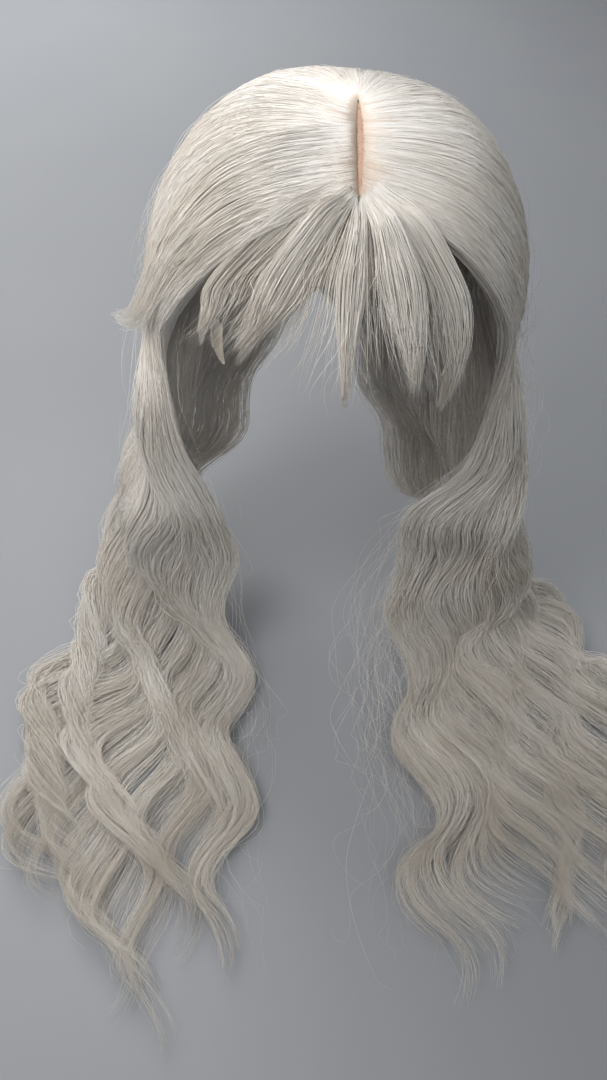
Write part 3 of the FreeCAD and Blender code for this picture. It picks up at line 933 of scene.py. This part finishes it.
def veil_strands(index, count):
    """Loose single strands between lock index and the next one."""
    first, second = fringe_sections[index][0], fringe_sections[index + 1][0]
    share = rng.uniform(-0.1, 1.1, (count, 1, 1))
    sections = first + (second - first) * share
    sections[..., X] += np.sign(index - 1.5) * VEIL_SHIFT * rng.uniform(-0.3, 1.5, (count, 1))
    sections[..., Y] += rng.normal(0, 1.5 * MM, (count, 1)) + 2 * MM
    spread = (index - 2 + share[:, 0, 0]) / FAN_STEP
    lines = fringe_lines(spread, sections, rng.uniform(0.7, 0.98, count))
    grow = np.linspace(0, 1, FRINGE_SAMPLES)[None, :, None] ** 1.5
    return lines + wander(count, FRINGE_SAMPLES, 1.4) * grow * rng.exponential(2.2 * MM, (count, 1, 1))


print("tips of the fringe", sum(LOCK_POINTS))

# %% [markdown]
# ## Fringe pieces
# One piece for each CAD lock, with the veil to the right of it. A piece stands for its CAD
# lock, which it hides.

# %% Make the fringe
FRINGE_RADIUS = 0.17 * MM
FRINGE_COUNT = [150, 210, 160, 230, 240]
VEIL_COUNT = [90, 130, 90, 110]
for index, row in enumerate(FRINGE_ROWS):
    bundles = [lock_strands(index, FRINGE_COUNT[index])]
    if index < len(VEIL_COUNT):
        bundles.append(veil_strands(index, VEIL_COUNT[index]))
    lines = np.concatenate(bundles)
    radii = strand_radii(len(lines), FRINGE_SAMPLES, FRINGE_RADIUS)
    tones = rng.uniform(0.2, 1, len(lines))
    piece = hair_piece(f"fringe_hair_{row}", lines, radii, tones)
    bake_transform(piece)
    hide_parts(f"fringe_lock_{row}")
    print(piece.name, len(lines), "strands")

# %% [markdown]
# ## The swept side
# On the left a broad sheet of shorter hair is combed from the parting across the temple, and
# it ends in a flick in front of the ear. It lies on the surface, over the roots of the long
# hair, so it is a piece of its own that rides on the cap.

# %% Swept sheet and flick
SWEEP_SHARES = np.array([0.0, 0.05, 0.15, 0.3, 0.5, 0.7])
SWEEP_TURN = np.array([-26.0, -23.0, -19.0, -15.0])
SWEEP_LEVEL = np.array([-0.088, -0.104, -0.114, -0.113])
SWEEP_SCALE = np.array([1.015, 1.05, 1.11, 1.18])
SWEEP_SPREAD = np.array([1.0, 0.85, 0.45, 0.2])  # the sheet is drawn together to its flicked tip


def sweep_strands(side, count):
    out = SIDES[side]
    order = rng.uniform(0, 1, count)
    root_y = part_low.y + 2 * MM + 34 * MM * order
    turns = SWEEP_TURN + (9 * order + rng.normal(0, 1.2, count))[:, None] * SWEEP_SPREAD
    levels = SWEEP_LEVEL + (0.012 * order - 0.004)[:, None] * SWEEP_SPREAD
    levels = levels - np.array([1.6, 1.0, 0.3, 0.0]) * 0.006 * rng.uniform(-1, 1, (count, 1))
    scale = SWEEP_SCALE + rng.uniform(-0.03, 0.012, (count, 1))
    end = np.stack([crown_point(turns[:, i], levels[:, i], scale[:, i]) for i in range(4)], axis=1)
    end[..., X] *= out
    root = part_roots(side, root_y)
    points = np.concatenate([over_crown(root, end[:, 0], SWEEP_SHARES, 0.55), end], axis=1)
    knots = np.concatenate([SWEEP_SHARES * 0.85, [0.82, 0.88, 0.94, 1.0]])
    where = rng.uniform(0.8, 1.0, (count, 1)) * np.linspace(0, 1, FRINGE_SAMPLES)
    lines = smooth_line(knots, points, where)
    grow = np.linspace(0, 1, FRINGE_SAMPLES)[None, :, None] ** 2
    return lines + wander(count, FRINGE_SAMPLES, 2.0) * grow * rng.exponential(1.0 * MM, (count, 1, 1))


SWEPT_STRANDS = 420
lines = sweep_strands("left", SWEPT_STRANDS)
radii = strand_radii(SWEPT_STRANDS, FRINGE_SAMPLES, STRAND_RADIUS)
sweep = hair_piece("left_swept_hair", lines, radii, rng.uniform(0.3, 1, SWEPT_STRANDS))
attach(sweep, "cap")
print("swept strands", len(lines))

# %% [markdown]
# ## The top layer of the crown
# The crown shows the finest hair, so a last thin layer of fine strands covers each side from
# the parting to the widest place of the head. It fills the grooves between the long strands
# below it, which would look carved without it.

# %% Fine top layer
LAYER_STRANDS = 900
LAYER_SAMPLES = 32
LAYER_RADIUS = 0.14 * MM
for side in SIDES:
    place = rng.uniform(0.0, 1.0, LAYER_STRANDS)
    control = strand_paths(side, place, rng.uniform(0.93, 1.01, LAYER_STRANDS))
    where = rng.uniform(0.18, 0.34, (LAYER_STRANDS, 1)) * np.linspace(0, 1, LAYER_SAMPLES)
    lines = smooth_line(STATION_KNOTS, control, where)
    lines += wander(LAYER_STRANDS, LAYER_SAMPLES, 1.5) * ease(where, 0, 0.1)[..., None] * 0.9 * MM
    radii = strand_radii(LAYER_STRANDS, LAYER_SAMPLES, LAYER_RADIUS)
    tones = rng.uniform(0.2, 1, LAYER_STRANDS)
    layer = hair_piece(f"{side}_crown_layer", lines, radii, tones)
    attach(layer, "cap")
    print(layer.name, len(lines), "strands")

# %% [markdown]
# ## Strays and wisps
# No wig lies perfectly: single strands stand off the crown and the sides, and thin wisps lie
# in loops on the table between the two sides. They take the same paths as the long hair, with
# more wander and a thinner fibre.

# %% Strays on the crown and wisps on the table
def stray_lines(side, count, samples, start, end, size, waves, place_low, place_high, depth=1.0):
    """Single strands that leave the surface between two places of their length."""
    place = rng.uniform(place_low, place_high, count)
    control = strand_paths(side, place, np.full(count, depth))
    where = start[:, None] + (end - start)[:, None] * np.linspace(0, 1, samples)[None, :]
    lines = smooth_line(STATION_KNOTS, control, where)
    grow = ease(np.linspace(0, 1, samples), 0.05, 1.0)[None, :, None]
    return lines + wander(count, samples, waves) * grow * size * rng.uniform(0.3, 1.4, (count, 1, 1))


STRAYS = 130
STRAY_SAMPLES = 44
STRAY_RADIUS = 0.1 * MM
STRAY_WANDER = 14 * MM
WISP_SAMPLES = 90
WISPS = {"left": 40, "right": 70}
WISP_WANDER = 19 * MM
WISP_DRIFT = {"left": 25 * MM, "right": 60 * MM}  # how far they stray into the gap
for side in SIDES:
    ends = rng.uniform(0.26, 0.52, STRAYS)
    lines = stray_lines(side, STRAYS, STRAY_SAMPLES, 0 * ends, ends, STRAY_WANDER, 1.2, 0.02, 0.95)
    radii = strand_radii(STRAYS, STRAY_SAMPLES, STRAY_RADIUS)
    strays = hair_piece(f"{side}_stray_hair", lines, radii, np.full(STRAYS, 0.8))
    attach(strays, "cap")
    count = WISPS[side]
    ends = rng.uniform(0.75, 0.97, count)
    starts = rng.uniform(0.1, 0.3, count)
    lines = stray_lines(side, count, WISP_SAMPLES, starts, ends, WISP_WANDER, 3.2, 0.0, 0.3, 0.6)
    inward = ease(run_length(lines), 0.12, 0.32) * rng.uniform(0, 1, (count, 1)) * WISP_DRIFT[side]
    lines[..., X] -= SIDES[side] * inward
    lines = rest_on_table(lines, rng.uniform(0.3, 1.5, (count, 1)) * MM)
    radii = strand_radii(count, WISP_SAMPLES, STRAY_RADIUS)
    wisps = hair_piece(f"{side}_long_hair_wisps", lines, radii, np.full(count, 0.75))
    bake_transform(wisps)
    print(side, "strays and wisps", len(lines))

# %% [markdown]
# ## Which CAD solids the hair stands for
# Each plain solid of hair is hidden by the pieces that fill it. It stays in the motion model.

# %% Replace the plain solids
for side in SIDES:
    lanes = sorted({lane for lane, _ in LANES[side]})
    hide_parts(f"crown_hair_front_{side}", f"{side}_length_inner")
    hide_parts(f"{side}_side_hair", f"{side}_shoulder_hair")
    outer_lengths = [f"{side}_length_{lane}" for lane in lanes if lane != "inner"]
    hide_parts(*outer_lengths)
    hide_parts(f"crown_hair_back_{side}", f"{side}_back_hair")

# %% [markdown]
# ## The cap's fabrics
# The cap is what holds the hair: an elastic net, a lace front and nape band, ribbons, sewn
# wefts, a skin-coloured parting strip, ear tabs and two adjusters. Their CAD shapes are
# right, so they stay and only get a finish. A weave is two sets of waves that cross, one for
# each direction of thread, and the same height drives colour, roughness and bump.

# %% Woven finish
WAVE_TURN = 0.314  # a wave texture of scale 1 repeats after this length


def thread_waves(tree, place, pitch, direction):
    """Height of parallel threads, with this pitch in metres."""
    made = node(tree, "ShaderNodeTexWave", Vector=place, Scale=WAVE_TURN / pitch)
    made.bands_direction = direction
    made.inputs["Distortion"].default_value = 0.6
    made.inputs["Detail"].default_value = 1.0
    return made.outputs["Fac"]


def math_node(tree, operation, first, second):
    made = tree.nodes.new("ShaderNodeMath")
    made.operation = operation
    for socket, value in zip(made.inputs, (first, second)):
        if isinstance(value, bpy.types.NodeSocket):
            tree.links.new(value, socket)
        else:
            socket.default_value = value
    return made.outputs[0]


def woven_material(name, deep, high, pitches, directions, depth, rough=(0.6, 0.85), sheen=0.2):
    """A fabric of two crossing sets of threads, with worn and stained patches."""
    material = bpy.data.materials.new(name)
    tree = tree_of(material)
    place = tree.nodes.new("ShaderNodeTexCoord").outputs["Object"]
    first = thread_waves(tree, place, pitches[0], directions[0])
    second = thread_waves(tree, place, pitches[1], directions[1])
    weave = math_node(tree, "MAXIMUM", first, second)
    cloth = ramp(tree, weave, (0.25, deep), (0.8, high))
    drift = node(tree, "ShaderNodeTexNoise", Vector=place, Scale=45.0, Detail=4.0)
    wear = ramp(tree, drift.outputs["Fac"], (0.35, (0.84, 0.82, 0.79)), (0.6, (1.0, 1.0, 1.0)))
    colour = mix_colour(tree, 1.0, cloth, wear, "MULTIPLY")
    shine = node(tree, "ShaderNodeMapRange", Value=weave, To_Min=rough[1], To_Max=rough[0])
    bump = node(tree, "ShaderNodeBump", Height=weave, Strength=0.8, Distance=depth)
    shader = node(
        tree,
        "ShaderNodeBsdfPrincipled",
        Base_Color=colour,
        Roughness=shine.outputs["Result"],
        Normal=bump.outputs["Normal"],
    )
    shader.inputs["Sheen Weight"].default_value = sheen
    finish_material(tree, shader)
    return material


print("one wave of the texture at scale 1 is", WAVE_TURN, "m")

# %% [markdown]
# ## Clips and the parting strip
# The stays and hooks are moulded plastic: a satin grain, rubbed paler here and there. The
# parting strip is thin silk in a skin colour, so that the open line between the roots looks
# like a scalp. Small darker dots stand for the knots that hold the hair.

# %% Moulded and silk finishes
def moulded_material(name, colour, worn):
    """Moulded plastic with a fine satin grain and paler rubbed patches."""
    material = bpy.data.materials.new(name)
    tree = tree_of(material)
    place = tree.nodes.new("ShaderNodeTexCoord").outputs["Object"]
    drift = node(tree, "ShaderNodeTexNoise", Vector=place, Scale=160.0, Detail=4.0)
    grain = node(tree, "ShaderNodeTexNoise", Vector=place, Scale=2600.0, Detail=2.0)
    tint = ramp(tree, drift.outputs["Fac"], (0.4, colour), (0.7, worn))
    shine = node(tree, "ShaderNodeMapRange", Value=grain.outputs["Fac"], To_Min=0.3, To_Max=0.5)
    bump = node(tree, "ShaderNodeBump", Height=grain.outputs["Fac"], Strength=0.3, Distance=0.00005)
    shader = node(
        tree,
        "ShaderNodeBsdfPrincipled",
        Base_Color=tint,
        Roughness=shine.outputs["Result"],
        Normal=bump.outputs["Normal"],
    )
    finish_material(tree, shader)
    return material


def skin_material(name):
    """The parting strip: skin-coloured silk with a fine weave and the knots of the roots."""
    material = bpy.data.materials.new(name)
    tree = tree_of(material)
    place = tree.nodes.new("ShaderNodeTexCoord").outputs["Object"]
    drift = node(tree, "ShaderNodeTexNoise", Vector=place, Scale=120.0, Detail=4.0)
    skin = ramp(tree, drift.outputs["Fac"], (0.3, (0.46, 0.27, 0.18)), (0.7, (0.60, 0.41, 0.30)))
    knots = node(tree, "ShaderNodeTexVoronoi", Vector=place, Scale=700.0)
    dots = ramp(tree, knots.outputs["Distance"], (0.12, (0.62, 0.5, 0.4)), (0.3, (1.0, 1.0, 1.0)))
    colour = mix_colour(tree, 1.0, skin, dots, "MULTIPLY")
    bump = node(tree, "ShaderNodeBump", Height=knots.outputs["Distance"], Strength=0.5, Distance=0.0002)
    rough = node(tree, "ShaderNodeMapRange", Value=drift.outputs["Fac"], To_Min=0.5, To_Max=0.7)
    shader = node(
        tree,
        "ShaderNodeBsdfPrincipled",
        Base_Color=colour,
        Roughness=rough.outputs["Result"],
        Normal=bump.outputs["Normal"],
    )
    finish_material(tree, shader)
    return material


print("moulded and silk finishes use noise and dots instead of threads")

# %% [markdown]
# ## One finish for each kind of cloth
# Only the pitch, the thread directions, the depth and the colours differ, so one function
# makes them all.

# %% Materials of the cap
NET = woven_material(
    "elastic_net", (0.50, 0.43, 0.34), (0.80, 0.72, 0.60), (1.7 * MM, 1.7 * MM), ("X", "DIAGONAL"), 0.3 * MM
)
LACE = woven_material(
    "lace_band", (0.55, 0.46, 0.36), (0.84, 0.76, 0.64), (0.9 * MM, 0.9 * MM), ("Z", "DIAGONAL"), 0.15 * MM
)
RIBBON = woven_material(
    "satin_ribbon",
    (0.66, 0.57, 0.46),
    (0.84, 0.76, 0.65),
    (0.5 * MM, 2.4 * MM),
    ("Z", "X"),
    0.08 * MM,
    (0.35, 0.6),
)
WEFT = woven_material(
    "weft_seam", (0.60, 0.53, 0.43), (0.88, 0.82, 0.73), (1.1 * MM, 0.45 * MM), ("DIAGONAL", "X"), 0.25 * MM
)
ELASTIC = woven_material(
    "ribbed_elastic", (0.52, 0.45, 0.37), (0.82, 0.75, 0.65), (0.8 * MM, 1.1 * MM), ("Z", "X"), 0.2 * MM
)
CLIP = moulded_material("moulded_clip", (0.72, 0.64, 0.53), (0.86, 0.80, 0.71))
SKIN = skin_material("parting_silk")
print("materials", len(bpy.data.materials))

# %% [markdown]
# ## Which piece of the cap gets which finish
# A CAD node keeps its place and its mesh's shape; only its material slots change.

# %% Finishes on the cap
FINISHES = {
    "cap_net": NET,
    "parting_strip": SKIN,
    "front_band": LACE,
    "nape_band": ELASTIC,
    "centre_ribbon": RIBBON,
}
for side in SIDES:
    FINISHES[f"{side}_side_ribbon"] = RIBBON
    FINISHES[f"{side}_ear_tab"] = LACE
    FINISHES[f"{side}_tab_stay"] = CLIP
    FINISHES[f"{side}_adjuster_strap"] = ELASTIC
    FINISHES[f"{side}_adjuster_hook"] = CLIP
    FINISHES[f"{side}_adjuster_loops"] = RIBBON
for name in frame["nodes"]:
    if name.startswith("weft_row"):
        FINISHES[name] = WEFT
for name, finish in FINISHES.items():
    mesh = frame["nodes"][name].data
    mesh.materials.clear()
    mesh.materials.append(finish)
print("cap nodes with a finish", len(FINISHES))

# %% [markdown]
# ## The last step
# The last step brings the scene up to date.

# %% Bring the scene up to date
bpy.context.view_layer.update()
